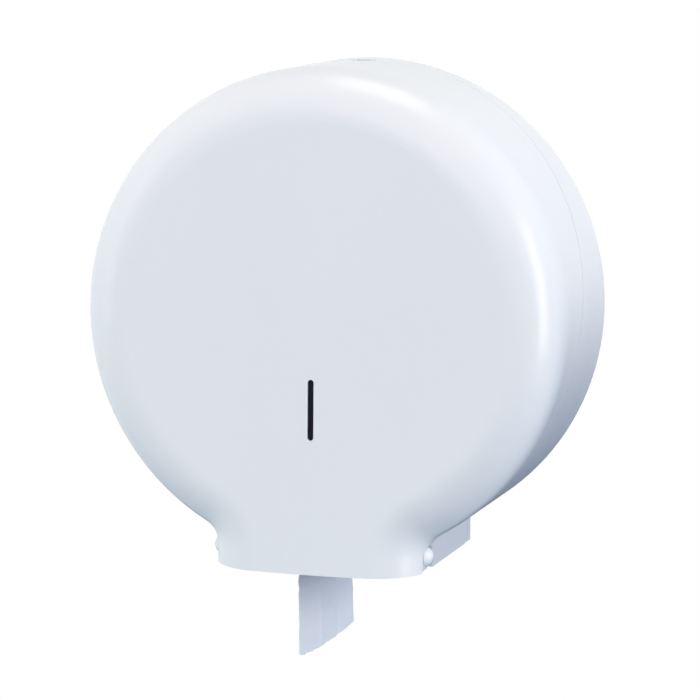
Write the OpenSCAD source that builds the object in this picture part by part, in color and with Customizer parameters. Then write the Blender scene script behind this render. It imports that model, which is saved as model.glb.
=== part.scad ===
// Wall-mounted dispenser for jumbo toilet rolls.
// A round moulded drum with a short neck at the bottom. The rear base is screwed to the wall, and the
// front cover swings down on two pins in the neck. The origin is the centre of the wall face, on the
// axis of the drum: +X is to the right, the front faces -Y and +Z is up.

/* [Drum] */
// Outer diameter of the drum
drum_d = 268; // [264:4:272]
// Depth from the wall to the front face
depth = 116; // [116:0.5:124]
// Radius that rounds the front face into the side wall
edge_r = 28; // [24:0.5:30]
// Wall thickness of the moulded cover and base
wall = 2.6; // [2.2:0.1:3]
// Gap left between the cover and the base at the parting line
seam_gap = 0.4; // [0.3:0.05:0.6]
// Distance from the wall to the parting line at the height of the drum axis
seam_mid = 56.4; // [52:0.2:60]
// Slant of the parting line from the vertical, in degrees
seam_angle = 18.9; // [16:0.1:20]
// Width of the fine step along the base's edge at the parting line
seam_step = 0.35; // [0.2:0.05:0.5]

/* [Neck] */
// Outer width of the neck
neck_w = 118.8; // [118.8:1.6:122]
// How far the bottom of the base's neck reaches below the drum
neck_reach = 2; // [1:0.5:5]
// Radius of the cover's hollow corner between drum and neck
cover_fillet = 12; // [12:2:14]
// Radius of the base's hollow corner between drum and neck
base_fillet = 4; // [3:0.5:6]
// Depth of the slightly narrower band where the base's neck meets the wall
neck_band = 13.2; // [10:0.2:16]
// How far the middle of the cover's lip hangs below the base's neck
lip_drop = 2.2; // [1.4:0.1:3]
// How far the lip rises from its middle to its corners
lip_rise = 1; // [0.5:0.1:2]
// Width of the mouth that the paper leaves by, between the two cutting edges
mouth_w = 19.6; // [18:0.2:30]

/* [Hinge] */
// Diameter of a hinge pin's shank
pin_d = 5; // [4:0.1:6]
// Diameter of a hinge pin's domed head
pin_head_d = 10.8; // [9:0.1:12]
// Height of the domed head over the cover's ear
pin_head_h = 4.1; // [3:0.1:4.5]
// How far the hinge axis lies in front of the lower end of the parting line
hinge_ahead = 2; // [1:0.5:4]
// Radius of the rounded ear around the hinge pin
ear_r = 7; // [6.8:0.1:7.4]
// How far the ear's face lies below the side of the neck
ear_sink = 1.6; // [1.5:0.1:1.8]

/* [Window] */
// Length of the slot in the face
slot_l = 33; // [24:0.5:40]
// Width of the slot in the face
slot_w = 3.4; // [3:0.1:5]
// Distance from the drum axis down to the middle of the slot
slot_drop = 48.4; // [40:0.2:60]

/* [Paper] */
// Room between the loaded roll and the outside of the drum
roll_room = 29; // [26:0.5:64]
// Room between the front of the roll and the outside of the face
front_room = 15; // [14:0.5:21]
// Inner diameter of the roll's cardboard core
core_d = 60; // [58:0.1:64]
// Wall of the cardboard core
core_wall = 1.6; // [1:0.1:2.5]
// Thickness that the paper strip is drawn with
paper_t = 0.6; // [0.4:0.1:1]
// Length of paper that hangs below the base's neck
tail_l = 55; // [20:1:80]

/* [Spindle] */
// Diameter of the fixed spindle
spindle_d = 24; // [20:0.5:28]
// Wall thickness of the spindle tube
spindle_wall = 2.4; // [2:0.1:3]
// Diameter of the core that the bare hub takes
small_core_d = 45; // [44:0.1:48]
// Diameter of the hub's back flange
hub_flange_d = 76; // [70:1:84]
// Number of fins on the hub and on the adapter
fins = 6; // [4:1:8]

/* [Lock] */
// Diameter of the lock body's threaded sleeve
lock_d = 14; // [13:0.1:15]
// Diameter of the lock body's flange
lock_flange_d = 18; // [17:0.1:20]
// Distance from the wall to the lock axis
lock_out = 28; // [27:0.5:29]
// Length of the cam from the lock axis to its tip
cam_l = 19; // [18:0.5:19.5]
// Width of the cam
cam_w = 7; // [6:0.1:7.2]

/* [Wall fixing] */
// Distance between the wall screws, left to right
fix_x = 140; // [120:1:144]
// Distance between the wall screws, up and down
fix_z = 124; // [110:1:128]
// Diameter of a wall screw hole
fix_d = 5.5; // [4.5:0.1:6.5]

/* [Hidden] */

$fn = 96;
big_fn = 240;
eps = 0.01;

// Clearances
running = 0.08;      // radial play of a turning fit
press = 0.02;        // radial play of a fixed fit
side_gap = 0.3;      // play beside a piece that turns or slides
paper_gap = 0.3;     // play between paper and its neighbours

// Colours
white = [0.92, 0.94, 0.96];
steel = [0.72, 0.74, 0.76];
smoke = [0.10, 0.10, 0.12];
grey = [0.62, 0.66, 0.70];
paper = [0.96, 0.96, 0.95];
card = [0.66, 0.56, 0.44];
felt = [0.25, 0.25, 0.27];

// Drum and neck
drum_r = drum_d / 2;
neck_x = neck_w / 2;
neck_drop = drum_r + neck_reach;
function hollow_x(r) = neck_x + r;
function hollow_z(r) = sqrt(pow(drum_r + r, 2) - pow(hollow_x(r), 2));
seam_slope = tan(seam_angle);
seam_front = depth - edge_r;            // the parting line goes no further out than this
seam_knee = (seam_mid - seam_front) / seam_slope;
band_step = 0.4;
groove_w = 1;                           // groove in the middle of the narrower band
groove_deep = 0.7;
lip_low = neck_drop + lip_drop;
lip_r = (pow(neck_x, 2) + pow(lip_rise, 2)) / (2 * lip_rise);

// Base plate
plate_back = 2.4;                       // depth of the ribs on the wall side
plate_front = plate_back + wall;        // inner face of the back plate
rib_t = 1.8;
ring_rib_r = drum_r - 16;
hub_ring_r = 34;
rest_rib_h = 3;
rib_reach = 3.2;                        // how far the locating rib reaches past the parting line
face_rib_start = 25;

// Hinge
hinge_out = seam_front + hinge_ahead;
hinge_z = -(neck_drop - ear_r);
pin_r = pin_d / 2;
lug_t = 3;
lug_r = ear_r - 1;
ear_gap = 0.5;                          // play between the ear and the base's neck wall
lug_gap = 2;                            // room between the lug and the ear's wall
lug_x = neck_x - wall - lug_gap;        // outer face of the base's lug
lug_arm = 22;                           // reach of the lug's arm behind the hinge axis
lug_block = 30;                         // reach of the block that joins it to the neck wall
ear_boss_r = pin_r + 2.2;
ear_x = neck_x - ear_sink;              // outer face of the ear
clip_t = 0.9;
clip_r = pin_r + 2.4;
pin_tail = 1.6;                         // length of the pin past its clip

// Mouth, shelves and tear bars
mouth_x = mouth_w / 2;
bar_t = 1;
shelf_x = mouth_x + bar_t;
shelf_out = depth - 13;                 // how far the shelves reach from the wall
shelf_tip_x = 44;
bar_start = plate_front + 1;
bar_l = shelf_out - 2 - bar_start;
bar_flange = 12;
tooth_n = 30;
tooth_h = 1.7;
rivet_r = 1.5;
rivet_n = 3;
shelf_top = -(neck_drop - wall);

// Spindle, hub and roll
spindle_r = spindle_d / 2;
foot_r = 30;
foot_t = 3;
foot_front = plate_front + foot_t;
hub_back = foot_front + side_gap;
hub_flange_t = 2.4;
roll_back = hub_back + hub_flange_t + paper_gap;
roll_front = depth - front_room;
roll_w = roll_front - roll_back;
roll_r = drum_r - roll_room;
hub_r = spindle_r + running;
hub_wall = 3;
hub_front = roll_front - 1;
small_core_r = small_core_d / 2 - paper_gap;
fin_r = small_core_r - running;
core_r = core_d / 2;
adapter_back = hub_back + hub_flange_t + 0.1;
adapter_front = roll_front - 6;
adapter_wall = 2;
washer_t = 1;
spring_t = 2.2;
spindle_front = hub_front + side_gap + washer_t + spring_t;
cap_r = 17;
cap_t = 2.6;
screw_ring_r = 22;
spindle_screw_r = 1.5;
spindle_screw_head_r = 3;
cap_screw_r = 1.7;

// Window
window_t = 1.5;
window_w = 14;
window_l = slot_l + 12;
window_play = 0.15;
face_in = depth - wall;                 // inner face of the cover's front
peg_r = 1.2;
peg_x = 4.6;
peg_z = slot_l / 2 + 3;

// Lock, from the outside of the drum inwards
lock_r = lock_d / 2;
lock_face = drum_r - 0.4;               // outer face of the lock flange
lock_seat = drum_r - 2.2;               // floor of the pocket in the cover
lock_boss_r = 12;
boss_low = drum_r - 8;
nut_t = 3.6;
nut_af = 18;
lock_low = drum_r - 14.6;
plug_r = 5;
plug_head_r = 6.2;
plug_head_t = 1.4;
plug_low = lock_low - side_gap;
cam_t = 1.6;
cam_top = plug_low - 0.2;
cam_low = cam_top - cam_t;
cam_bore_r = 3;
cam_screw_r = 1.5;

// Keeper
keeper_t = 1.5;
keeper_x0 = 12.4;
keeper_x1 = 22;
keeper_foot_x0 = 11.5;
keeper_foot_x1 = 25.5;
keeper_top = boss_low;
keeper_low = cam_low - 1.6;
keeper_tab_x0 = 8;
keeper_tab_top = cam_top + 1.8;
keeper_out = lock_out + cam_w / 2 + side_gap;
keeper_seat = plate_front + 4;
keeper_foot_low = keeper_top - 14;
keeper_screw_z = keeper_top - 8.5;
keeper_screw_r = 1.3;
keeper_mid_x = (keeper_foot_x0 + keeper_foot_x1) / 2;
keeper_screws_x = [keeper_mid_x - 3.6, keeper_mid_x + 3.6];

// Turns a front view, drawn with X right, Y up and Z out from the wall, into the upright frame.
module on_wall() rotate([90, 0, 0]) children();

// Extrudes a side view, drawn with X up and Y out from the wall, across the drum.
module across(w) rotate([90, 0, 90]) linear_extrude(w, center = true) children();

// Runs a turned piece along X, with its base at X = 0.
module along_x() rotate([0, 90, 0]) children();

// Runs a turned piece upwards, along Y of the front view.
module upwards() rotate([-90, 0, 0]) children();

// Section of the drum with a rounded front corner. Inset shrinks it on every side.
module drum_section(inset, back) {
    e = edge_r - inset;
    r = drum_r - inset;
    front = depth - inset;
    translate([0, back]) square([r, front - e - back]);
    translate([0, back]) square([r - e, front - back]);
    translate([r - e, front - e]) circle(e);
}

// Plan of the neck with rounded front corners.
module neck_plan(inset, back) {
    e = edge_r - inset;
    x = neck_x - inset;
    front = depth - inset;
    translate([-x, back]) square([2 * x, front - e - back]);
    translate([-(x - e), back]) square([2 * (x - e), front - back]);
    for (s = [-1, 1]) translate([s * (x - e), front - e]) circle(e);
}

// Half of what fills the corner between drum and neck, before it is hollowed.
module corner_web(s, r) polygon([[0, 0], [s * hollow_x(r), -hollow_z(r)], [0, -hollow_z(r)]]);

// Section of the material round the hollow corner's own axis.
module corner_section(inset, back) {
    e = edge_r - inset;
    r = cover_fillet + inset;
    far = drum_r + cover_fillet + 1;
    front = depth - inset;
    translate([r, back]) square([far - r, front - e - back]);
    translate([r + e, back]) square([far - r - e, front - back]);
    translate([r + e, front - e]) circle(e);
}

// The outer form of the dispenser, inset on every side. The drum ends where the hollow corners begin,
// and the neck begins where they end, so that each rounded surface runs on into the next.
module form(inset, back, low) {
    x = hollow_x(cover_fillet);
    z = hollow_z(cover_fillet);
    difference() {
        rotate_extrude($fn = big_fn) intersection() {
            drum_section(inset, back);
            translate([0, back]) square([drum_r, depth - back]);
        }
        translate([0, 0, back - 1]) linear_extrude(depth + 3)
            polygon([[0, 0], [1.5 * x, -1.5 * z], [-1.5 * x, -1.5 * z]]);
    }
    for (s = [-1, 1]) intersection() {
        translate([0, 0, back - 1]) linear_extrude(depth + 3) corner_web(s, cover_fillet);
        translate([s * x, -z, 0]) rotate_extrude($fn = big_fn) corner_section(inset, back);
    }
    translate([0, -z, 0]) rotate([90, 0, 0]) linear_extrude(low - z) neck_plan(inset, back);
}

// Front view of the dispenser behind the rounded edge.
module outline(inset, low) {
    circle(drum_r - inset, $fn = big_fn);
    translate([-(neck_x - inset), -low]) square([2 * (neck_x - inset), low]);
    for (s = [-1, 1]) difference() {
        corner_web(s, base_fillet);
        translate([s * hollow_x(base_fillet), -hollow_z(base_fillet)]) circle(base_fillet + inset);
    }
}

// Distance from the wall to the parting line at a height above the drum axis.
function seam_at(up) = min(seam_mid - seam_slope * up, seam_front);

// Side view of all that lies in front of the parting line, moved out by shift.
module front_side(shift) {
    top = drum_r + 10;
    low = -neck_drop - 20;
    polygon([
        [low, seam_front + shift], [seam_knee, seam_front + shift], [top, seam_at(top) + shift],
        [top, depth + 10], [low, depth + 10]
    ]);
}

// Side view of all that lies behind the parting line, moved out by shift.
module rear_side(shift) {
    top = drum_r + 10;
    low = -neck_drop - 20;
    polygon([
        [low, seam_front + shift], [seam_knee, seam_front + shift], [top, seam_at(top) + shift],
        [top, -10], [low, -10]
    ]);
}

// One copy at each wall screw.
module at_fixings() {
    for (x = [-1, 1], z = [-1, 1]) translate([x * fix_x / 2, z * fix_z / 2, 0]) children();
}

// One copy at each screw of the spindle's foot.
module at_spindle_screws() {
    for (a = [90 : 120 : 330]) rotate(a) translate([screw_ring_r, 0, 0]) children();
}

// A pan head screw with a cross recess. The head's seat is at 0 and the shank runs down.
module pan_screw(shank_r, length, head_r, head_h) {
    translate([0, 0, -length]) cylinder(r = shank_r, h = length);
    difference() {
        union() {
            cylinder(r = head_r, h = head_h * 0.6);
            translate([0, 0, head_h * 0.6]) cylinder(r1 = head_r, r2 = head_r * 0.6, h = head_h * 0.4);
        }
        for (a = [0, 90]) rotate(a) translate([-head_r * 0.5, -0.3, head_h * 0.5])
            cube([head_r, 0.6, head_h]);
    }
}

// A countersunk screw with its flat face at 0.
module flat_screw(shank_r, length, head_r) {
    sink = head_r - shank_r;
    translate([0, 0, -length]) cylinder(r = shank_r, h = length - sink + eps);
    difference() {
        translate([0, 0, -sink]) cylinder(r1 = shank_r, r2 = head_r, h = sink);
        for (a = [0, 90]) rotate(a) translate([-head_r * 0.55, -0.3, -sink * 0.6])
            cube([head_r * 1.1, 0.6, sink]);
    }
}

/* ---- moulded shells ---- */

// Wall-side stiffening: a ring, radial ribs and a pad round each fixing, all level with the wall.
module wall_side_ribs() {
    linear_extrude(plate_back + 1) difference() {
        circle(hub_ring_r);
        circle(hub_ring_r - rib_t);
    }
    for (a = [0 : 45 : 315]) rotate(a + 22.5)
        translate([hub_ring_r - rib_t / 2, -rib_t / 2, 0])
            cube([drum_r - hub_ring_r, rib_t, plate_back + 1]);
    at_fixings() cylinder(r = fix_d / 2 + 6, h = plate_back + 1);
    at_spindle_screws() translate([0, 0, 0.6]) cylinder(r = 4, h = plate_back);
}

// Room-side stiffening inside the drum: a ring rib, radial ribs and the seats of the fixings.
module room_side_ribs() {
    translate([0, 0, plate_front - 0.5]) linear_extrude(rest_rib_h + 0.5) difference() {
        circle(ring_rib_r);
        circle(ring_rib_r - rib_t);
    }
    for (a = [0 : 30 : 330]) rotate(a + 15)
        translate([foot_r + 12, -rib_t / 2, plate_front - 0.5])
            cube([ring_rib_r - foot_r - 13, rib_t, rest_rib_h + 0.5]);
    at_fixings() translate([0, 0, plate_front - 0.5]) cylinder(r = fix_d / 2 + 4.6, h = 4);
}

// Rib along the upper parting line that keeps the closed cover in line.
module locating_rib() {
    inner = wall + 2;
    intersection() {
        difference() {
            translate([0, 0, plate_back]) cylinder(r = drum_r - wall - 0.4, h = depth, $fn = big_fn);
            cylinder(r = drum_r - inner, h = depth + 9, $fn = big_fn);
        }
        difference() {
            across(3 * drum_r) rear_side(rib_reach);
            across(3 * drum_r + 2) rear_side(-5);
        }
        translate([-drum_r, -30, 0]) cube([drum_d, drum_d, depth]);
    }
    intersection() {
        difference() {
            translate([0, 0, plate_back]) cylinder(r = drum_r - wall / 2, h = depth, $fn = big_fn);
            cylinder(r = drum_r - inner, h = depth + 9, $fn = big_fn);
        }
        difference() {
            across(3 * drum_r) rear_side(-1.5);
            across(3 * drum_r + 2) rear_side(-5);
        }
        translate([-drum_r, -30, 0]) cube([drum_d, drum_d, depth]);
    }
}

// Forward part of the neck's floor, which carries the tear bars out to the front of the roll.
module front_shelf(s) {
    z0 = -neck_drop;
    translate([0, z0, 0]) mirror([s < 0 ? 1 : 0, 0, 0]) {
        translate([shelf_x, 0, seam_front - 4])
            cube([shelf_tip_x - shelf_x, wall, shelf_out - seam_front + 4]);
        translate([shelf_tip_x - 2, 0, seam_front - 18])
            cube([2, wall + 4, shelf_out - seam_front + 18]);
    }
}

// Lug inside the cover's ear, with the block that joins it to the neck wall.
module hinge_lug(s) {
    mirror([s < 0 ? 1 : 0, 0, 0]) {
        translate([lug_x - lug_t, hinge_z, hinge_out]) along_x() cylinder(r = lug_r, h = lug_t);
        translate([lug_x - lug_t, hinge_z - lug_r, hinge_out - lug_arm])
            cube([lug_t, 2 * lug_r, lug_arm]);
        translate([lug_x - lug_t, hinge_z - lug_r, hinge_out - lug_block])
            cube([lug_t + lug_gap + wall / 2, 2 * lug_r, lug_block - ear_r - 2]);
    }
}

// Block behind the lock that the keeper is screwed to.
module keeper_block() {
    translate([keeper_foot_x0, keeper_foot_low - 1, plate_front - 1]) cube([
        keeper_foot_x1 - keeper_foot_x0,
        keeper_top - keeper_foot_low + 1,
        keeper_seat - plate_front + 1
    ]);
}

module rear_base() color(white) on_wall() difference() {
    union() {
        // walls, with a fine step along their front edge
        intersection() {
            linear_extrude(depth) difference() {
                outline(0, neck_drop);
                outline(wall, neck_drop - wall);
            }
            across(3 * drum_r) rear_side(-seam_gap / 2 - seam_step);
        }
        intersection() {
            linear_extrude(depth) difference() {
                outline(seam_step, neck_drop - seam_step);
                outline(wall, neck_drop - wall);
            }
            across(3 * drum_r) rear_side(-seam_gap / 2);
        }
        translate([0, 0, plate_back]) linear_extrude(wall) outline(wall / 2, neck_drop - wall / 2);
        intersection() {
            wall_side_ribs();
            linear_extrude(depth) outline(wall / 2, neck_drop - wall / 2);
        }
        room_side_ribs();
        locating_rib();
        keeper_block();
        for (s = [-1, 1]) {
            front_shelf(s);
            hinge_lug(s);
        }
    }
    // mouth between the shelves
    translate([-shelf_x, -neck_drop - 1, plate_front]) cube([2 * shelf_x, wall + 2, depth]);
    for (s = [-1, 1]) mirror([s < 0 ? 1 : 0, 0, 0]) {
        // room for the cover's ear, which swings down beside the neck wall
        translate([lug_x, hinge_z, hinge_out]) along_x() cylinder(r = ear_r + ear_gap, h = 3 * wall);
        translate([lug_x, -neck_drop - 1, hinge_out - ear_r - ear_gap])
            cube([3 * wall, ear_r + 1, 2 * ear_r]);
        translate([lug_x, -neck_drop, hinge_out - ear_r - ear_gap]) rotate([45, 0, 0])
            cube([6 * wall, ear_gap * 2, ear_gap * 2], center = true);
        // bore of the hinge pin
        translate([lug_x - lug_t - 1, hinge_z, hinge_out]) along_x()
            cylinder(r = pin_r + press, h = lug_t + 2);
        // rivet holes
        for (k = [0 : rivet_n - 1]) translate([bar_mid_x, -neck_drop - 1, rivet_out(k)])
            upwards() cylinder(r = rivet_r + press, h = wall + 2);
    }
    // narrower band in the neck's sides next to the wall, with a groove
    for (s = [-1, 1]) translate([s * neck_x, -(neck_drop + hollow_z(base_fillet)) / 2 - 1, 0]) {
        cube([2 * band_step, neck_drop - hollow_z(base_fillet) + 2, 2 * neck_band], center = true);
        translate([0, 0, neck_band / 2])
            cube([2 * (band_step + groove_deep), 3 * ear_r, groove_w], center = true);
    }
    at_fixings() {
        translate([0, 0, -1]) cylinder(r = fix_d / 2, h = plate_front + 10);
        translate([0, 0, plate_front + 1.4]) cylinder(r = fix_d / 2 + 2.8, h = 10);
    }
    at_spindle_screws() translate([0, 0, 1.4])
        cylinder(r = spindle_screw_r + press, h = plate_front);
    for (x = keeper_screws_x) translate([x, keeper_screw_z, plate_front - 2])
        cylinder(r = keeper_screw_r + press, h = 10);
}

// Shell of the cover in front of the parting line, cut to the curved lip.
module cover_shell() {
    intersection() {
        difference() {
            form(0, 0, lip_low + 2);
            form(wall, -1, lip_low + 9);
        }
        difference() {
            across(3 * drum_r) front_side(seam_gap / 2);
            across(3 * drum_r + 2) under_ear();
        }
        translate([0, lip_r - lip_low, -1]) cylinder(r = lip_r, h = depth + 2, $fn = 720);
    }
}

// Side view of what is cut away below the ears, so that the lip passes under the base as the
// cover opens.
module under_ear() {
    low = lip_low + 1;
    polygon([
        [hinge_z - ear_r, 0], [hinge_z - ear_r, hinge_out + ear_r],
        [-low, hinge_out + ear_r + low - neck_drop], [-low, 0]
    ]);
}

// Ear that reaches back round each hinge pin. Its bore runs through a boss on the inside, which keeps
// the cover centred between the base's lugs.
module ear(s) {
    mirror([s < 0 ? 1 : 0, 0, 0]) {
        translate([neck_x - wall, hinge_z, hinge_out]) along_x()
            cylinder(r = ear_r, h = wall - ear_sink);
        translate([lug_x + 0.2, hinge_z, hinge_out]) along_x() cylinder(r = ear_boss_r, h = lug_gap);
    }
}

// Flat round recess in the cover's corner, which the head of the hinge pin sits in.
module ear_recess(s) {
    mirror([s < 0 ? 1 : 0, 0, 0]) {
        translate([ear_x, hinge_z, hinge_out]) along_x() cylinder(r = ear_r, h = 2 * wall);
        translate([ear_x, hinge_z - 2 * ear_r, hinge_out - ear_r])
            cube([2 * wall, 2 * ear_r, 2 * ear_r]);
    }
}

// Peg that goes through the window plate and is headed over it.
module window_peg() {
    translate([0, 0, face_in - window_t - 0.9]) cylinder(r = peg_r, h = window_t + 1.4);
    translate([0, 0, face_in - window_t - 1.2]) cylinder(r1 = peg_r, r2 = peg_r + 0.9, h = 0.6);
    translate([0, 0, face_in - window_t - 0.6]) cylinder(r = peg_r + 0.9, h = 0.5);
}

module front_cover() color(white) on_wall() difference() {
    union() {
        cover_shell();
        for (s = [-1, 1]) ear(s);
        // boss under the lock
        intersection() {
            translate([0, boss_low, lock_out]) upwards() cylinder(r = lock_boss_r, h = 20);
            cylinder(r = drum_r - wall / 2, h = depth, $fn = big_fn);
        }
        for (x = [-1, 1], z = [-1, 1]) translate([x * peg_x, -slot_drop + z * peg_z, 0]) window_peg();
        // rim round the window plate
        translate([0, -slot_drop, face_in - 1.2]) linear_extrude(1.2 + wall / 2) difference() {
            square([window_w + 4, window_l + 4], center = true);
            square([window_w + 1, window_l + 1], center = true);
        }
        // ribs across the inside of the face
        for (a = [60, 90, 120]) rotate(a) translate([face_rib_start, -rib_t / 2, face_in - 2])
            cube([drum_r - edge_r - 6 - face_rib_start, rib_t, 2 + wall / 2]);
    }
    translate([0, -slot_drop, face_in - 1]) linear_extrude(wall + 2) stadium(slot_w, slot_l);
    for (s = [-1, 1]) mirror([s < 0 ? 1 : 0, 0, 0])
        translate([lug_x, hinge_z, hinge_out]) along_x()
            cylinder(r = pin_r + running, h = wall + lug_gap + 1);
    for (s = [-1, 1]) ear_recess(s);
    translate([0, boss_low - 1, lock_out]) upwards() cylinder(r = lock_r + press, h = 20);
    translate([0, lock_seat, lock_out]) upwards() cylinder(r = lock_flange_d / 2 + 0.2, h = 20);
}

// A slot outline with round ends, upright.
module stadium(w, l) {
    square([w, l - w], center = true);
    for (s = [-1, 1]) translate([0, s * (l - w) / 2]) circle(w / 2);
}

module inspection_window() color(smoke) on_wall() translate([0, -slot_drop, 0]) {
    difference() {
        translate([0, 0, face_in - window_t]) linear_extrude(window_t)
            square([window_w, window_l], center = true);
        for (x = [-1, 1], z = [-1, 1]) translate([x * peg_x, z * peg_z, face_in - window_t - 1])
            cylinder(r = peg_r + 0.1, h = window_t + 2);
    }
    translate([0, 0, face_in - eps]) linear_extrude(wall - 0.8)
        stadium(slot_w - 2 * window_play, slot_l - 2 * window_play);
}

/* ---- hinge ---- */

// Pin with a domed head on the outside of the ear and a groove for its clip.
module hinge_pin(s) {
    shank = ear_x - (lug_x - lug_t - clip_t - pin_tail);
    dome_r = (pow(pin_head_d / 2, 2) + pow(pin_head_h, 2)) / (2 * pin_head_h);
    mirror([s < 0 ? 1 : 0, 0, 0]) translate([ear_x, hinge_z, hinge_out]) along_x() {
        translate([0, 0, -shank]) cylinder(r = pin_r, h = shank + side_gap);
        intersection() {
            translate([0, 0, 0.15]) cylinder(r = pin_head_d / 2, h = pin_head_h);
            translate([0, 0, 0.15 + pin_head_h - dome_r]) sphere(r = dome_r);
        }
    }
}

module pin_clip(s) {
    mirror([s < 0 ? 1 : 0, 0, 0]) translate([lug_x - lug_t - clip_t, hinge_z, hinge_out]) along_x()
        difference() {
            cylinder(r = clip_r, h = clip_t);
            translate([0, 0, -1]) cylinder(r = pin_r + press, h = clip_t + 2);
            for (a = [0 : 60 : 300]) rotate(a) translate([pin_r - 0.2, -0.3, -1])
                cube([1.1, 0.6, clip_t + 2]);
        }
}

module left_hinge_pin() color(white) on_wall() hinge_pin(-1);
module right_hinge_pin() color(white) on_wall() hinge_pin(1);
module left_pin_clip() color(steel) on_wall() pin_clip(-1);
module right_pin_clip() color(steel) on_wall() pin_clip(1);

/* ---- spindle, hub and adapter ---- */

module roll_spindle() color(grey) on_wall() difference() {
    union() {
        translate([0, 0, plate_front]) cylinder(r = foot_r, h = foot_t);
        translate([0, 0, plate_front]) cylinder(r = spindle_r, h = spindle_front - plate_front);
    }
    translate([0, 0, -1]) cylinder(r = spindle_r - spindle_wall, h = spindle_front - 8);
    translate([0, 0, spindle_front - 12]) cylinder(r = cap_screw_r + press, h = 20);
    at_spindle_screws() {
        cylinder(r = spindle_screw_r + press, h = foot_front + 1);
        translate([0, 0, foot_front - 1.6])
            cylinder(r1 = spindle_screw_r + press, r2 = spindle_screw_head_r + 0.15, h = 1.6 + eps);
    }
}

module spindle_screws() color(steel) on_wall() at_spindle_screws()
    translate([0, 0, foot_front - 0.05])
        flat_screw(spindle_screw_r, foot_front - 1.6, spindle_screw_head_r);

// Sleeve that turns on the spindle, with fins for a small core.
module core_hub() color(white) on_wall() difference() {
    union() {
        translate([0, 0, hub_back]) cylinder(r = hub_flange_d / 2, h = hub_flange_t);
        translate([0, 0, hub_back]) cylinder(r = hub_r + hub_wall, h = hub_front - hub_back);
        for (k = [0 : fins - 1]) rotate(k * 360 / fins) rotate([90, 0, 0])
            linear_extrude(rib_t, center = true) polygon([
                [hub_r + 1, hub_back + 1], [fin_r, hub_back + 1], [fin_r, hub_front - 10],
                [hub_r + hub_wall - 1, hub_front - 1], [hub_r + 1, hub_front - 1]
            ]);
    }
    translate([0, 0, hub_back - 1]) cylinder(r = hub_r, h = roll_front);
    for (k = [0 : fins - 1]) rotate((k + 0.5) * 360 / fins)
        translate([(small_core_r + hub_flange_d / 2) / 2 + 1, 0, hub_back - 1])
            cylinder(r = 4.5, h = hub_flange_t + 2);
}

// Larger sleeve pushed over the hub for a wide core.
module core_adapter() color(grey) on_wall() difference() {
    union() {
        translate([0, 0, adapter_back])
            cylinder(r = small_core_r + press + adapter_wall, h = adapter_front - adapter_back);
        for (k = [0 : fins - 1]) rotate((k + 0.5) * 360 / fins) rotate([90, 0, 0])
            linear_extrude(rib_t, center = true) polygon([
                [small_core_r + 1, adapter_back], [core_r - paper_gap, adapter_back],
                [core_r - paper_gap, adapter_front - 8],
                [small_core_r + adapter_wall, adapter_front], [small_core_r + 1, adapter_front]
            ]);
    }
    translate([0, 0, adapter_back - 1]) cylinder(r = small_core_r + press, h = roll_w + 10);
}

// Washer that drags on the hub's end, so the roll doesn't run on.
module friction_washer() color(felt) on_wall() translate([0, 0, hub_front + 0.1])
    difference() {
        cylinder(r = hub_r + hub_wall - 0.4, h = washer_t);
        translate([0, 0, -1]) cylinder(r = spindle_r + 0.15, h = washer_t + 2);
    }

// Cone spring between the drag washer and the cap.
module spring_washer() color(steel) on_wall() rotate_extrude() {
    z0 = hub_front + 0.1 + washer_t;
    z1 = spindle_front;
    r0 = spindle_r + 0.3;
    r1 = hub_r + hub_wall - 0.6;
    polygon([[r1 - 0.9, z0], [r1, z0], [r0 + 0.9, z1], [r0, z1]]);
}

module spindle_cap() color(white) on_wall() difference() {
    union() {
        translate([0, 0, spindle_front]) cylinder(r = cap_r, h = cap_t - 1);
        translate([0, 0, spindle_front + cap_t - 1]) cylinder(r1 = cap_r, r2 = cap_r - 1.2, h = 1);
    }
    translate([0, 0, spindle_front - 1]) cylinder(r = cap_screw_r + 0.1, h = cap_t + 2);
}

module cap_screw() color(steel) on_wall() translate([0, 0, spindle_front + cap_t])
    pan_screw(cap_screw_r, cap_t + 8, 2 * cap_screw_r, 2.2);

/* ---- tear bars ---- */

bar_mid_x = shelf_x + bar_flange / 2;
function rivet_out(k) = bar_start + 8 + k * (bar_l - 16) / (rivet_n - 1);

// Angled steel strip with teeth along its lower edge, on the right-hand shelf.
module tear_bar() {
    pitch = bar_l / tooth_n;
    leg_low = -neck_drop + 0.3;
    difference() {
        translate([mouth_x, shelf_top, bar_start]) cube([bar_t + bar_flange, bar_t, bar_l]);
        for (k = [0 : rivet_n - 1]) translate([bar_mid_x, shelf_top - 1, rivet_out(k)])
            upwards() cylinder(r = rivet_r + press, h = bar_t + 2);
    }
    translate([mouth_x, 0, bar_start]) rotate([90, 0, 90]) linear_extrude(bar_t) polygon(concat(
        [[shelf_top + bar_t, 0]],
        [for (k = [0 : tooth_n - 1])
            each [[leg_low, k * pitch], [leg_low - tooth_h, (k + 0.5) * pitch]]],
        [[leg_low, bar_l], [shelf_top + bar_t, bar_l]]
    ));
}

// Rivets that hold a tear bar down on its shelf.
module tear_bar_rivets() {
    for (k = [0 : rivet_n - 1]) translate([bar_mid_x, 0, rivet_out(k)]) upwards() {
        translate([0, 0, -neck_drop - 0.5]) cylinder(r = rivet_r, h = wall + bar_t + 1);
        translate([0, 0, -neck_drop - 0.7]) cylinder(r1 = rivet_r + 0.4, r2 = rivet_r + 1, h = 0.7);
        translate([0, 0, shelf_top + bar_t]) cylinder(r1 = rivet_r + 1.6, r2 = rivet_r + 0.6, h = 1);
    }
}

module left_tear_bar() color(steel) on_wall() mirror([1, 0, 0]) tear_bar();
module right_tear_bar() color(steel) on_wall() tear_bar();
module left_tear_bar_rivets() color(grey) on_wall() mirror([1, 0, 0]) tear_bar_rivets();
module right_tear_bar_rivets() color(grey) on_wall() tear_bar_rivets();

/* ---- lock ---- */

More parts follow.
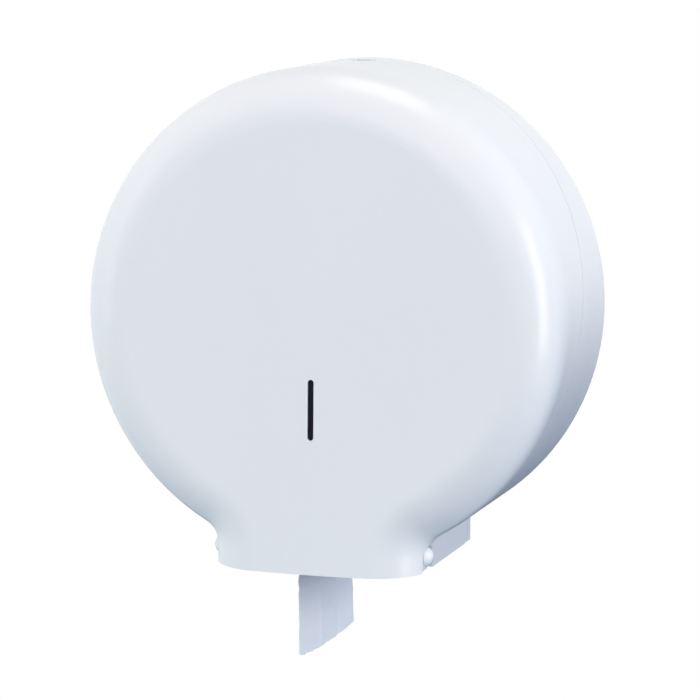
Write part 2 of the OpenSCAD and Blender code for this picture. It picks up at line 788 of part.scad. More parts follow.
// Stands a turned piece in the lock's place, with its height measured from the drum axis.
module at_lock() translate([0, 0, lock_out]) upwards() children();

module lock_body() color(white) on_wall() at_lock() difference() {
    union() {
        translate([0, 0, lock_seat]) cylinder(r = lock_flange_d / 2, h = lock_face - lock_seat);
        translate([0, 0, lock_low]) cylinder(r = lock_r, h = lock_seat - lock_low + eps);
    }
    translate([0, 0, lock_low - 1]) cylinder(r = plug_r + running, h = 30);
    translate([0, 0, lock_face - plug_head_t]) cylinder(r = plug_head_r + running, h = 10);
    // thread grooves
    for (k = [0 : 3]) translate([0, 0, lock_low + 1 + k * 1.4]) rotate_extrude()
        translate([lock_r, 0]) rotate(45) square(0.7, center = true);
}

module lock_nut() color(steel) on_wall() at_lock() translate([0, 0, boss_low - nut_t]) difference() {
    cylinder(r = nut_af / sqrt(3), h = nut_t, $fn = 6);
    translate([0, 0, -1]) cylinder(r = lock_r + press, h = nut_t + 2);
}

// Plug with a keyway. It turns in the lock body and carries the cam on its shouldered end.
module lock_barrel() color(grey) on_wall() at_lock() difference() {
    union() {
        translate([0, 0, lock_face - plug_head_t + 0.1])
            cylinder(r = plug_head_r, h = plug_head_t - 0.2);
        translate([0, 0, plug_low]) cylinder(r = plug_r, h = lock_face - plug_head_t + 0.2 - plug_low);
        translate([0, 0, cam_low]) cylinder(r = cam_bore_r, h = plug_low - cam_low + 1);
    }
    translate([-0.6, -3, lock_face - 6]) cube([1.2, 6, 10]);
    translate([-1.1, -1.1, lock_face - 6]) cube([2.2, 2.2, 10]);
    translate([0, 0, cam_low - 1]) cylinder(r = cam_screw_r + press, h = 7);
}

// Flat cam. Unlocked, it points at the wall.
module lock_cam() color(steel) on_wall() at_lock() translate([0, 0, cam_low]) difference() {
    linear_extrude(cam_t) union() {
        circle(cam_w / 2 + 1.4);
        translate([-cam_w / 2, 0]) square([cam_w, cam_l - cam_w / 2]);
        translate([0, cam_l - cam_w / 2]) circle(cam_w / 2);
    }
    translate([0, 0, -1]) cylinder(r = cam_bore_r + press, h = cam_t + 2);
}

module cam_screw() color(steel) on_wall() at_lock() translate([0, 0, cam_low]) mirror([0, 0, 1])
    pan_screw(cam_screw_r, 5, 4, 2);

// Bent steel keeper: a foot on the block, an arm over the cam and a tab in front of it.
module keeper_plate() color(steel) on_wall() difference() {
    union() {
        translate([keeper_foot_x0, keeper_foot_low, keeper_seat])
            cube([keeper_foot_x1 - keeper_foot_x0, keeper_top - keeper_foot_low, keeper_t]);
        translate([keeper_x0, keeper_top - keeper_t, keeper_seat])
            cube([keeper_x1 - keeper_x0, keeper_t, keeper_out + keeper_t - keeper_seat]);
        translate([keeper_x0, keeper_low, keeper_out])
            cube([keeper_x1 - keeper_x0, keeper_top - keeper_low, keeper_t]);
        translate([keeper_tab_x0, keeper_low, keeper_out])
            cube([keeper_x1 - keeper_tab_x0, keeper_tab_top - keeper_low, keeper_t]);
    }
    for (x = keeper_screws_x) translate([x, keeper_screw_z, keeper_seat - 1])
        cylinder(r = keeper_screw_r + 0.1, h = keeper_t + 2);
}

module keeper_screws() color(steel) on_wall() for (x = keeper_screws_x)
    translate([x, keeper_screw_z, keeper_seat + keeper_t])
        pan_screw(keeper_screw_r, keeper_t + 5, 2.5, 1.8);

/* ---- paper ---- */

module roll_core() color(card) on_wall() translate([0, 0, roll_back]) difference() {
    cylinder(r = core_r + core_wall, h = roll_w);
    translate([0, 0, -1]) cylinder(r = core_r, h = roll_w + 2);
}

module paper_roll() color(paper) on_wall() translate([0, 0, roll_back]) difference() {
    cylinder(r = roll_r, h = roll_w, $fn = big_fn);
    translate([0, 0, -1]) cylinder(r = core_r + core_wall + 0.05, h = roll_w + 2);
}

// The strip leaves the roll on its left, runs down to the mouth and bends over the left tear bar.
strip_x = -(mouth_x - 0.4 - paper_t / 2);
strip_bend = -(shelf_top + bar_t + 0.7);
web_r = roll_r + paper_gap + paper_t / 2;
bend_d = norm([strip_x, strip_bend]);
web_l = sqrt(pow(bend_d, 2) - pow(web_r, 2));
web_a = atan2(strip_bend, -strip_x) + asin(web_r / bend_d);

module paper_web() color(paper) on_wall() translate([0, 0, roll_back]) linear_extrude(roll_w) {
    translate([strip_x, -strip_bend]) {
        rotate(web_a) translate([0, -paper_t / 2]) square([web_l, paper_t]);
        circle(paper_t / 2);
    }
    translate([strip_x - paper_t / 2, -neck_drop]) square([paper_t, neck_drop - strip_bend]);
}

module paper_tail() color(paper) on_wall() translate([0, 0, roll_back]) linear_extrude(roll_w)
    translate([strip_x - paper_t / 2, -neck_drop - tail_l]) square([paper_t, tail_l]);

rear_base();
front_cover();
inspection_window();
left_hinge_pin();
right_hinge_pin();
left_pin_clip();
right_pin_clip();
roll_spindle();
spindle_screws();
core_hub();
core_adapter();
friction_washer();
spring_washer();
spindle_cap();
cap_screw();
left_tear_bar();
right_tear_bar();
left_tear_bar_rivets();
right_tear_bar_rivets();
lock_body();
lock_nut();
lock_barrel();
lock_cam();
cam_screw();
keeper_plate();
keeper_screws();
roll_core();
paper_roll();
paper_web();
paper_tail();
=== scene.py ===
import math

import bpy
from bpy.props import FloatProperty, FloatVectorProperty, IntProperty, PointerProperty
from mathutils import Matrix, Vector, noise


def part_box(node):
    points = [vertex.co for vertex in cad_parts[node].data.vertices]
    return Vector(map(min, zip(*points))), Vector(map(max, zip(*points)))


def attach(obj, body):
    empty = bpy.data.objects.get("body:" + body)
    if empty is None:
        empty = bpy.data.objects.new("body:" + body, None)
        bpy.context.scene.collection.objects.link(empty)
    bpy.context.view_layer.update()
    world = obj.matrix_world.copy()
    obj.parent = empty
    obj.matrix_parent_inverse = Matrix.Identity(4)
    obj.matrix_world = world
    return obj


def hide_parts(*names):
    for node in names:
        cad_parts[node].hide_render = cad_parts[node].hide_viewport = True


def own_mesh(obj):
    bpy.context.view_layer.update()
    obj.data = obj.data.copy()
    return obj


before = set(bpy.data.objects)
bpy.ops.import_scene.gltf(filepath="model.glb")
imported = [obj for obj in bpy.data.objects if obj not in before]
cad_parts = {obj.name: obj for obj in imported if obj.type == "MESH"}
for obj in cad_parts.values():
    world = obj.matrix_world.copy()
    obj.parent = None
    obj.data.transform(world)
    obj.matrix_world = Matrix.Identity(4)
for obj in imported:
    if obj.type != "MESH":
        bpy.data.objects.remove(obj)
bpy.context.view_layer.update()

bl_info = {
    "name": "Jumbo Roll Dispenser",
    "version": (1, 0, 0),
    "blender": (4, 5, 0),
    "location": "3D View > Sidebar > Dispenser",
    "description": "Finishes, paper and studio for a wall-mounted jumbo roll dispenser",
    "category": "Object",
}

MM = 0.001

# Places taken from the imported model
ROLL_LOW, ROLL_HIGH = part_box("paper_roll")
TAIL_LOW, TAIL_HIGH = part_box("paper_tail")
BAR_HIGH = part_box("left_tear_bar")[1]
FACE_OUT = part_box("front_cover")[0].y

ROLL_R = (ROLL_HIGH.x - ROLL_LOW.x) / 2
CORE_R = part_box("roll_core")[1].x
STRIP_X = (TAIL_LOW.x + TAIL_HIGH.x) / 2
STRIP_GAP = 0.6 * MM


# ---- settings ----


class DispenserCamera(bpy.types.PropertyGroup):
    azimuth: FloatProperty(
        name="Azimuth", description="Turn of the camera to the right of the front",
        default=math.radians(16.56), subtype="ANGLE")
    elevation: FloatProperty(
        name="Elevation", description="Height of the camera over the horizon",
        default=math.radians(7.93), subtype="ANGLE")
    roll: FloatProperty(
        name="Roll", description="Turn of the picture about the line of sight",
        default=math.radians(0.48), subtype="ANGLE")
    distance: FloatProperty(
        name="Distance", description="Distance from the camera to its target",
        default=1.85158, unit="LENGTH")
    lens: FloatProperty(
        name="Lens", description="Focal length for a sensor 36 mm wide",
        default=179.343, unit="CAMERA")
    target_x: FloatProperty(
        name="Target X", description="Point that the camera looks at, to the right of the drum axis",
        default=21.79 * MM, unit="LENGTH")
    target_z: FloatProperty(
        name="Target Z", description="Point that the camera looks at, above the drum axis",
        default=-14.76 * MM, unit="LENGTH")


class DispenserStudio(bpy.types.PropertyGroup):
    right: FloatVectorProperty(
        name="Right", description="Soft light from the right",
        default=(1.50, 1.66, 1.80), size=3, subtype="COLOR", min=0.0, soft_max=2.0)
    left: FloatVectorProperty(
        name="Left", description="Soft light from the left",
        default=(0.86, 0.97, 1.20), size=3, subtype="COLOR", min=0.0, soft_max=2.0)
    rear: FloatVectorProperty(
        name="Rear", description="Soft light from the rear",
        default=(0.17, 0.17, 0.24), size=3, subtype="COLOR", min=0.0, soft_max=2.0)
    top: FloatVectorProperty(
        name="Top", description="Soft light from above",
        default=(0.18, 0.18, 0.18), size=3, subtype="COLOR", min=0.0, soft_max=2.0)
    floor_white: FloatVectorProperty(
        name="Floor colour", description="Colour of the floor near the dispenser",
        default=(0.80, 0.82, 0.84), size=3, subtype="COLOR")
    floor_bounce: FloatVectorProperty(
        name="Floor bounce", description="Colour of the light that the floor sends back up",
        default=(0.10, 0.18, 0.30), size=3, subtype="COLOR")
    card: FloatVectorProperty(
        name="Card colour", description="Colour of the dark card that stands low behind the dispenser",
        default=(0.015, 0.05, 0.13), size=3, subtype="COLOR")
    floor_drop: FloatProperty(
        name="Floor", description="How far the floor lies below the drum axis", default=0.62, unit="LENGTH")
    side_power: FloatProperty(
        name="Side box", description="Power of the soft box at the right",
        default=16.6, min=0.0, unit="POWER")
    high_power: FloatProperty(
        name="High box", description="Power of the soft box overhead",
        default=11.0, min=0.0, unit="POWER")
    front_power: FloatProperty(
        name="Front box", description="Power of the soft box in front",
        default=21.0, min=0.0, unit="POWER")
    fill_power: FloatProperty(
        name="Fill box", description="Power of the soft box at the left",
        default=19.5, min=0.0, unit="POWER")
    low_power: FloatProperty(
        name="Low box", description="Power of the soft box low in front",
        default=4.2, min=0.0, unit="POWER")


class DispenserShell(bpy.types.PropertyGroup):
    white: FloatVectorProperty(
        name="White", description="Colour of the moulded cover and base",
        default=(0.80, 0.832, 0.872), size=3, subtype="COLOR")
    roughness: FloatProperty(
        name="Roughness", description="Roughness of the moulded plastic", default=0.25, min=0.0, max=1.0)
    grain: FloatProperty(
        name="Grain", description="Strength of the fine moulded texture", default=0.05, min=0.0, max=1.0)
    smoke: FloatVectorProperty(
        name="Smoke", description="Colour of the window plate",
        default=(0.006, 0.007, 0.013), size=3, subtype="COLOR")


class DispenserPaper(bpy.types.PropertyGroup):
    white: FloatVectorProperty(
        name="Paper", description="Colour of the tissue", default=(0.80, 0.835, 0.893), size=3,
        subtype="COLOR")
    thickness: FloatProperty(
        name="Thickness", description="Thickness of the two-ply tissue", default=0.3 * MM, unit="LENGTH")
    lean: FloatProperty(
        name="Lean", description="How far each side edge of the tail stands off its middle",
        default=1.45 * MM, unit="LENGTH")
    drift: FloatProperty(
        name="Drift", description="How far the end of the tail hangs to the right of its top",
        default=2.0 * MM, unit="LENGTH")
    rings: IntProperty(
        name="Rings", description="Steps between the core and the rim on each end of the roll", default=64,
        min=8)


class DispenserSettings(bpy.types.PropertyGroup):
    camera: PointerProperty(type=DispenserCamera, name="Camera", description="Camera of the stage")
    studio: PointerProperty(type=DispenserStudio, name="Studio", description="Lights and floor")
    shell: PointerProperty(type=DispenserShell, name="Shell", description="Moulded plastic")
    paper: PointerProperty(type=DispenserPaper, name="Paper", description="Roll, web and tail")


def settings():
    return bpy.context.scene.dispenser


# ---- shader graphs ----


class Wire:
    """An output socket of a shader graph. Sums and products of wires add Math nodes."""

    def __init__(self, graph, socket):
        self.graph = graph
        self.socket = socket

    def _math(self, operation, *values):
        return self.graph.node("ShaderNodeMath", {"operation": operation}, dict(enumerate(values)))

    def __add__(self, other):
        return self._math("ADD", self, other)

    def __sub__(self, other):
        return self._math("SUBTRACT", self, other)

    def __rsub__(self, other):
        return self._math("SUBTRACT", other, self)

    def __mul__(self, other):
        return self._math("MULTIPLY", self, other)

    def __truediv__(self, other):
        return self._math("DIVIDE", self, other)

    def __rtruediv__(self, other):
        return self._math("DIVIDE", other, self)

    def __pow__(self, other):
        return self._math("POWER", self, other)

    def __rpow__(self, other):
        return self._math("POWER", other, self)

    def __gt__(self, other):
        return self._math("GREATER_THAN", self, other)

    def __lt__(self, other):
        return self._math("LESS_THAN", self, other)

    __radd__ = __add__
    __rmul__ = __mul__

    def sine(self):
        return self._math("SINE", self)

    def fraction(self):
        return self._math("FRACT", self)

    def angle_to(self, other):
        return self._math("ARCTAN2", self, other)

    def highest(self, other):
        return self._math("MAXIMUM", self, other)


class Graph:
    """A node tree that is built one node at a time."""

    def __init__(self, tree):
        self.tree = tree
        self.tree.nodes.clear()

    def node(self, kind, options=None, sockets=None, out=0):
        """Adds a node, sets its options and then its sockets, and returns one output."""
        made = self.tree.nodes.new(kind)
        for key, value in (options or {}).items():
            if key == "stops":
                self._set_stops(made.color_ramp, value)
            else:
                setattr(made, key, value)
        for key, value in (sockets or {}).items():
            self.join(made.inputs[key], value)
        return Wire(self, made.outputs[out]) if made.outputs else made

    def join(self, socket, value):
        if isinstance(value, Wire):
            self.tree.links.new(value.socket, socket)
        elif socket.type == "RGBA" and len(value) == 3:
            socket.default_value = (*value, 1.0)
        else:
            socket.default_value = value

    @staticmethod
    def _set_stops(ramp, stops):
        while len(ramp.elements) > 1:
            ramp.elements.remove(ramp.elements[-1])
        for index, (place, colour) in enumerate(stops):
            element = ramp.elements[0] if index == 0 else ramp.elements.new(place)
            element.position = place
            element.color = (*colour, 1.0)

    def place(self, stretch=(1.0, 1.0, 1.0)):
        """Coordinates of the model, in metres, stretched along its axes."""
        where = self.node("ShaderNodeTexCoord", out="Object")
        return self.node("ShaderNodeMapping", None, {"Vector": where, "Scale": stretch})

    def noise(self, where, scale, detail=2.0, roughness=0.5):
        return self.node("ShaderNodeTexNoise", None, {
            "Vector": where, "Scale": scale, "Detail": detail, "Roughness": roughness}, out="Fac")

    def axes(self, where):
        """The x, y and z of a place or a direction."""
        return [self.node("ShaderNodeSeparateXYZ", None, {0: where}, out=k) for k in range(3)]

    def tint(self, amount, dark, light):
        """A colour between dark and light."""
        return self.node("ShaderNodeMix", {"data_type": "RGBA"}, {0: amount, 6: dark, 7: light}, out=2)

    def bump(self, height, strength, distance, normal=None):
        sockets = {"Height": height, "Strength": strength, "Distance": distance}
        if normal is not None:
            sockets["Normal"] = normal
        return self.node("ShaderNodeBump", None, sockets)

    def surface(self, **sockets):
        """Ends a material in one Principled shader. Underscores in the names stand for spaces."""
        named = {key.replace("_", " "): value for key, value in sockets.items()}
        shader = self.node("ShaderNodeBsdfPrincipled", None, named)
        self.node("ShaderNodeOutputMaterial", None, {"Surface": shader})


def new_material(name):
    material = bpy.data.materials.new(name)
    material.use_nodes = True
    return material, Graph(material.node_tree)


def shade(colour, share):
    return tuple(min(1.0, c * share) for c in colour)


def moulded_plastic(name, colour, roughness, grain):
    """Injection-moulded plastic: a fine sparked texture, slight flow marks and an even sheen."""
    material, g = new_material(name)
    where = g.place()
    flow = g.noise(g.place((1.0, 1.0, 0.45)), 14.0, 3.0)
    fine = g.noise(where, 2600.0, 1.0)
    peel = g.noise(where, 160.0, 2.0)
    normal = g.bump(peel, grain, 0.15 * MM, g.bump(fine, grain * 2, 0.05 * MM))
    g.surface(
        Base_Color=g.tint(flow, shade(colour, 0.985), shade(colour, 1.012)),
        Roughness=flow * 0.07 + peel * 0.04 + (roughness - 0.055),
        Normal=normal, IOR=1.5)
    return material


def smoked_plate(name, colour):
    """Dark smoked plastic with a faint haze and little sheen."""
    material, g = new_material(name)
    haze = g.noise(g.place(), 60.0, 3.0)
    g.surface(
        Base_Color=g.tint(haze, colour, shade(colour, 1.5)),
        Roughness=haze * 0.08 + 0.10,
        Normal=g.bump(haze, 0.05, 0.1 * MM), Specular_IOR_Level=0.1)
    return material


def brushed_steel(name, colour, stretch, roughness=0.28):
    """Steel with fine lines along one axis."""
    material, g = new_material(name)
    lines = g.noise(g.place(stretch), 900.0, 4.0, 0.65)
    cloud = g.noise(g.place(), 45.0, 2.0)
    g.surface(
        Base_Color=g.tint(lines * 0.7 + cloud * 0.3, shade(colour, 0.86), shade(colour, 1.08)),
        Metallic=1.0,
        Roughness=lines * 0.16 + cloud * 0.08 + (roughness - 0.12),
        Normal=g.bump(lines, 0.18, 0.05 * MM))
    return material


def zinc_plate(name, colour, roughness=0.33):
    """Zinc-plated steel with the mottled crystals of its plating."""
    material, g = new_material(name)
    where = g.place()
    cells = g.node("ShaderNodeTexVoronoi", None, {"Vector": where, "Scale": 700.0}, out="Distance")
    cloud = g.noise(where, 120.0, 3.0)
    g.surface(
        Base_Color=g.tint(cells * 0.6 + cloud * 0.4, shade(colour, 0.88), shade(colour, 1.06)),
        Metallic=1.0,
        Roughness=cells * 0.12 + cloud * 0.12 + (roughness - 0.1),
        Normal=g.bump(cells, 0.08, 0.05 * MM))
    return material


def drag_felt(name, colour):
    """Pressed fibre of the drag washer."""
    material, g = new_material(name)
    fibres = g.noise(g.place((1.0, 3.0, 1.0)), 1500.0, 5.0, 0.7)
    g.surface(
        Base_Color=g.tint(fibres, shade(colour, 0.7), shade(colour, 1.5)),
        Roughness=fibres * 0.15 + 0.75,
        Normal=g.bump(fibres, 0.5, 0.1 * MM))
    return material


def spiral_card(name, colour):
    """Grey-brown board, wound on a slant, with its seam and fibres."""
    material, g = new_material(name)
    where = g.place()
    x, y, z = g.axes(where)
    turn = x.angle_to(z) * (0.5 / math.pi) + y * 24.0
    seam = turn.fraction() < 0.035
    fibres = g.noise(g.place((1.0, 1.6, 1.0)), 900.0, 5.0, 0.7)
    tone = fibres - seam * 0.35
    g.surface(
        Base_Color=g.tint(tone, shade(colour, 0.72), shade(colour, 1.22)),
        Roughness=fibres * 0.12 + 0.78,
        Normal=g.bump(tone, 0.35, 0.15 * MM))
    return material


def tissue(name, colour, wound=False):
    """Soft two-ply paper: fibres, embossed dimples and, on a wound roll, the edges of its layers."""
    material, g = new_material(name)
    where = g.place()
    fibres = g.noise(g.place((1.0, 0.6, 1.0)), 1300.0, 4.0, 0.7)
    cloud = g.noise(where, 38.0, 3.0)
    x, y, z = g.axes(where)
    if wound:
        out = (x * x + z * z) ** 0.5
        wobble = g.noise(where, 26.0, 2.0)
        layers = ((out * 5200.0 + wobble * 6.0).sine() * 0.5 + 0.5) * 0.55
        broad = g.noise(g.node("ShaderNodeCombineXYZ", None, {0: out, 1: y}), 900.0, 2.0)
        height = layers + broad * 0.7 + fibres * 0.25
        tone = fibres * 0.25 + cloud * 0.3 + broad * 0.35 + layers * 0.25
    else:
        dimples = ((y * 2100.0).sine() * (z * 2100.0 + x * 900.0).sine() + 1.0) * 0.5
        height = dimples * 0.55 + fibres * 0.5
        tone = fibres * 0.35 + cloud * 0.4 + dimples * 0.2
    g.surface(
        Base_Color=g.tint(tone, shade(colour, 0.93), shade(colour, 1.05)),
        Roughness=fibres * 0.08 + 0.86,
        Normal=g.bump(height, 0.35, 0.12 * MM),
        Specular_IOR_Level=0.25, Sheen_Weight=0.15)
    return material


def dress(material, *nodes):
    """Gives CAD nodes a finish."""
    for name in nodes:
        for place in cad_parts[name].material_slots:
            place.material = material


# ---- meshes ----


def closed_sheet(name, rows, columns, point, thickness):
    """A thin closed sheet. point(u, v) gives its middle surface, with u and v from 0 to 1."""
    step = 1e-3
    middle, normals = [], []
    for i in range(rows + 1):
        for j in range(columns + 1):
            u, v = i / rows, j / columns
            along = point(min(u + step, 1), v) - point(max(u - step, 0), v)
            across = point(u, min(v + step, 1)) - point(u, max(v - step, 0))
            middle.append(point(u, v))
            normals.append(along.cross(across).normalized() * (thickness / 2))
    vertices = [m + n for m, n in zip(middle, normals)] + [m - n for m, n in zip(middle, normals)]
    count, width = len(middle), columns + 1
    faces = []
    for i in range(rows):
        for j in range(columns):
            a, b = i * width + j, i * width + j + 1
            c, d = b + width, a + width
            faces.append((a, d, c, b))
            faces.append((a + count, b + count, c + count, d + count))
    for i in range(rows):
        for a, d, turned in ((i * width, (i + 1) * width, False),
                             (i * width + columns, (i + 1) * width + columns, True)):
            face = (a, a + count, d + count, d)
            faces.append(face[::-1] if turned else face)
    for j in range(columns):
        for a, b, turned in ((j, j + 1, True), (rows * width + j, rows * width + j + 1, False)):
            face = (a, a + count, b + count, b)
            faces.append(face[::-1] if turned else face)
    return mesh_object(name, vertices, faces)


def mesh_object(name, vertices, faces):
    mesh = bpy.data.meshes.new(name)
    mesh.from_pydata([tuple(v) for v in vertices], [], faces)
    mesh.validate()
    mesh.polygons.foreach_set("use_smooth", [True] * len(mesh.polygons))
    mesh.update()
    piece = bpy.data.objects.new(name, mesh)
    bpy.context.scene.collection.objects.link(piece)
    return piece


def turned_ring(name, profile, segments, wobble):
    """A closed profile of (radius, y) points turned about the drum axis. wobble(radius, angle, y)
    gives how far a point moves in along the axis and in towards it."""
    vertices, faces = [], []
    count = len(profile)
    middle = sum(y for _, y in profile) / count
    for s in range(segments):
        angle = 2 * math.pi * s / segments
        for radius, y in profile:
            along, inward = wobble(radius, angle, y)
            r = radius - inward
            lean = along if y < middle else -along
            vertices.append(Vector((r * math.cos(angle), y + lean, r * math.sin(angle))))
    for s in range(segments):
        after = (s + 1) % segments
        for k in range(count):
            n = (k + 1) % count
            faces.append((s * count + k, s * count + n, after * count + n, after * count + k))
    return mesh_object(name, vertices, faces)


def make_roll():
    """The wound roll: crisp layer edges on its ends, soft corners and a slightly uneven outside."""
    paper = settings().paper
    corner = 0.9 * MM
    inner, outer = CORE_R + 0.05 * MM, ROLL_R
    front, back = ROLL_LOW.y, ROLL_HIGH.y
    steps = paper.rings
    radii = [inner + (outer - corner - inner) * k / steps for k in range(steps + 1)]
    bend = [math.radians(90 * k / 5) for k in range(1, 6)]
    profile = [(r, front) for r in radii]
    profile += [(outer - corner + corner * math.sin(a), front + corner * (1 - math.cos(a))) for a in bend]
    profile += [(outer, front + corner + (back - front - 2 * corner) * k / 10) for k in range(1, 10)]
    profile += [(outer - corner + corner * math.cos(a - math.radians(18)),
                 back - corner + corner * math.sin(a - math.radians(18))) for a in bend]
    profile += [(r, back) for r in reversed(radii)]
    profile += [(inner, back + (front - back) * k / 6) for k in range(1, 6)]

    def wobble(radius, angle, y):
        if radius < inner + 0.5 * MM:
            return 0.0, 0.0
        layer = noise.noise(Vector((radius * 2600, angle * 0.6, 0 if y < -0.05 else 9)))
        group = noise.noise(Vector((radius * 420, math.cos(angle), math.sin(angle))))
        along = (0.10 * (layer + 1) + 0.22 * (group + 1)) * MM
        soft = noise.noise(Vector((math.cos(angle) * 2.2, math.sin(angle) * 2.2, y * 30)))
        inward = 0.16 * MM * (soft + 1) if radius > outer - 0.2 * MM else 0.0
        return along, inward

    piece = turned_ring("wound_paper", profile, 288, wobble)
    piece.data.materials.append(tissue("wound_tissue", tuple(paper.white), wound=True))
    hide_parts("paper_roll")
    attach(piece, "roll")


def web_route():
    """Side view of the strip from the roll to the mouth, as a list of (x, z) points."""
    bend = Vector((STRIP_X, BAR_HIGH.z + 0.7 * MM))
    radius = ROLL_R + STRIP_GAP
    reach = math.atan2(bend.y, bend.x) - math.acos(radius / bend.length)
    touch = Vector((math.cos(reach), math.sin(reach))) * radius
    wrap = [Vector((math.cos(reach - a), math.sin(reach - a))) * radius
            for a in (math.radians(12 * (1 - k / 6)) for k in range(6))]
    straight = [touch.lerp(bend, k / 16) for k in range(16)]
    turn = 3 * MM
    corner = [bend + Vector((-0.35, 0.25)) * MM, bend, bend + Vector((0, -turn / 3))]
    down = [Vector((STRIP_X, bend.y + (TAIL_HIGH.z - bend.y) * k / 4)) for k in range(2, 5)]
    return wrap + straight + corner[1:] + down


def make_web():
    """The strip on its way from the roll to the mouth."""
    paper = settings().paper
    route = web_route()
    lengths = [0.0]
    for a, b in zip(route, route[1:]):
        lengths.append(lengths[-1] + (b - a).length)
    total = lengths[-1]

    def on_route(t):
        s = t * total
        for k in range(1, len(route)):
            if s <= lengths[k] or k == len(route) - 1:
                span = max(lengths[k] - lengths[k - 1], 1e-9)
                return route[k - 1].lerp(route[k], min(1.0, (s - lengths[k - 1]) / span))
        return route[-1]

    def point(u, v):
        flat = on_route(u)
        y = TAIL_LOW.y + (TAIL_HIGH.y - TAIL_LOW.y) * v
        ripple = noise.noise(Vector((u * 5, v * 2.5, 3.0))) * 0.12 * MM * math.sin(math.pi * u)
        return Vector((flat.x + ripple, y, flat.y + ripple))

    piece = closed_sheet("paper_strip", 96, 40, point, paper.thickness)
    piece.data.materials.append(tissue("web_tissue", tuple(paper.white)))
    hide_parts("paper_web")
    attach(piece, "base")


# The torn end of the tail, as shares of its width and lengths
TEAR_SHORT = 4.3 * MM        # how much of the tail is torn off at its side edges
TEAR_SAG = 2.3 * MM          # how far the tear hangs lower between them
SAG_PLACE, SAG_REACH, SAG_POWER = 0.42, 0.55, 2.4
TEETH_ACROSS, TEETH_DEPTH = 28.4, 1.1 * MM
FIBRE_DEPTH, SLOW_DEPTH = 0.35 * MM, 0.6 * MM
WORN_WIDTH, WORN_DEPTH = 0.07, 1.3 * MM

# Creases run across the tail and pleats run down it: place, slope, depth
CREASES = ((0.30, 0.10, 0.45 * MM), (0.62, -0.06, 0.30 * MM))
PLEATS = ((0.38, 0.02, 0.5 * MM), (0.69, 0.02, -0.45 * MM))
FOLD_WIDTH = 0.035


def fold(away, depth):
    """A soft ridge. away is the distance from its middle, as a share of the tail."""
    return depth * math.exp(-(away / FOLD_WIDTH) ** 2)


def torn_edge(v):
    """How much shorter the tail is at a place across it: teeth marks, fibres, a worn front corner and
    a tear that sags between the side edges."""
    teeth = abs(((v * TEETH_ACROSS) % 1.0) - 0.5) * TEETH_DEPTH
    fibres = (noise.noise(Vector((v * 60, 1.7, 0))) + 1) * FIBRE_DEPTH
    slow = (noise.noise(Vector((v * 4, 5.1, 0))) + 1) * SLOW_DEPTH
    front_corner = WORN_DEPTH * max(0.0, 1 - v / WORN_WIDTH) ** 2
    sag = TEAR_SAG * (1 - (abs(v - SAG_PLACE) / SAG_REACH) ** SAG_POWER)
    return TEAR_SHORT + teeth + fibres + slow + front_corner - sag


def make_tail():
    """The hanging end: straight where it leaves the tear bar, then leaning, with creases, pleats and a
    torn end."""
    paper = settings().paper
    top, drop = TAIL_HIGH.z, TAIL_HIGH.z - TAIL_LOW.z
    width = TAIL_HIGH.y - TAIL_LOW.y

    def point(u, v):
        length = drop - torn_edge(v) * u
        down = length * u
        ease = min(1.0, down / (9 * MM))
        settle = ease * ease * (3 - 2 * ease)
        lean = paper.lean * (2 * v - 1) * settle
        drift = paper.drift * (down / drop) ** 2.5
        crease = sum(fold(u - place - slope * (v - 0.5), depth) for place, slope, depth in CREASES)
        crease += sum(fold(v - place - slope * u, depth) for place, slope, depth in PLEATS)
        wave = 0.55 * MM * noise.noise(Vector((u * 2.2, v * 2.6, 7.0))) * settle
        curl = -0.9 * MM * (u ** 4) * (1 - v) ** 2
        x = STRIP_X + lean + drift + crease * settle + wave + curl
        return Vector((x, TAIL_LOW.y + width * v, top - down))

    piece = closed_sheet("paper_end", 110, 170, point, paper.thickness)
    piece.data.materials.append(tissue("tail_tissue", tuple(paper.white)))
    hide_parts("paper_tail")
    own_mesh(piece)
    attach(piece, "base")


# ---- stage ----


def make_camera():
    c = settings().camera
    back = Vector((math.sin(c.azimuth) * math.cos(c.elevation),
                   -math.cos(c.azimuth) * math.cos(c.elevation), math.sin(c.elevation)))
    data = bpy.data.cameras.new("camera")
    data.lens = c.lens
    data.sensor_width = 36.0
    data.clip_start, data.clip_end = 0.05, 100.0
    camera = bpy.data.objects.new("camera", data)
    bpy.context.scene.collection.objects.link(camera)
    camera.rotation_mode = "QUATERNION"
    camera.location = Vector((c.target_x, FACE_OUT, c.target_z)) + back * c.distance
    turn = Matrix.Rotation(c.roll, 4, back).to_quaternion()
    camera.rotation_quaternion = turn @ (-back).to_track_quat("-Z", "Y")
    bpy.context.scene.camera = camera


def make_light(name, place, target, size, power, tint):
    data = bpy.data.lights.new(name, "AREA")
    data.shape = "RECTANGLE"
    data.size, data.size_y = size
    data.energy = power
    data.color = tint
    light = bpy.data.objects.new(name, data)
    bpy.context.scene.collection.objects.link(light)
    light.location = place
    light.rotation_mode = "QUATERNION"
    light.rotation_quaternion = (Vector(target) - Vector(place)).to_track_quat("-Z", "Y")
    return light


def shows_background(g):
    """1 for rays that show the background itself: from the camera, in gloss and through clear pieces."""
    camera, gloss, through = (g.node("ShaderNodeLightPath", out=name) for name in (
        "Is Camera Ray", "Is Glossy Ray", "Is Transmission Ray"))
    return camera.highest(gloss).highest(through)


SIDES = (("right", 0, 1), ("left", 0, -1), ("rear", 1, 1), ("top", 2, 1))


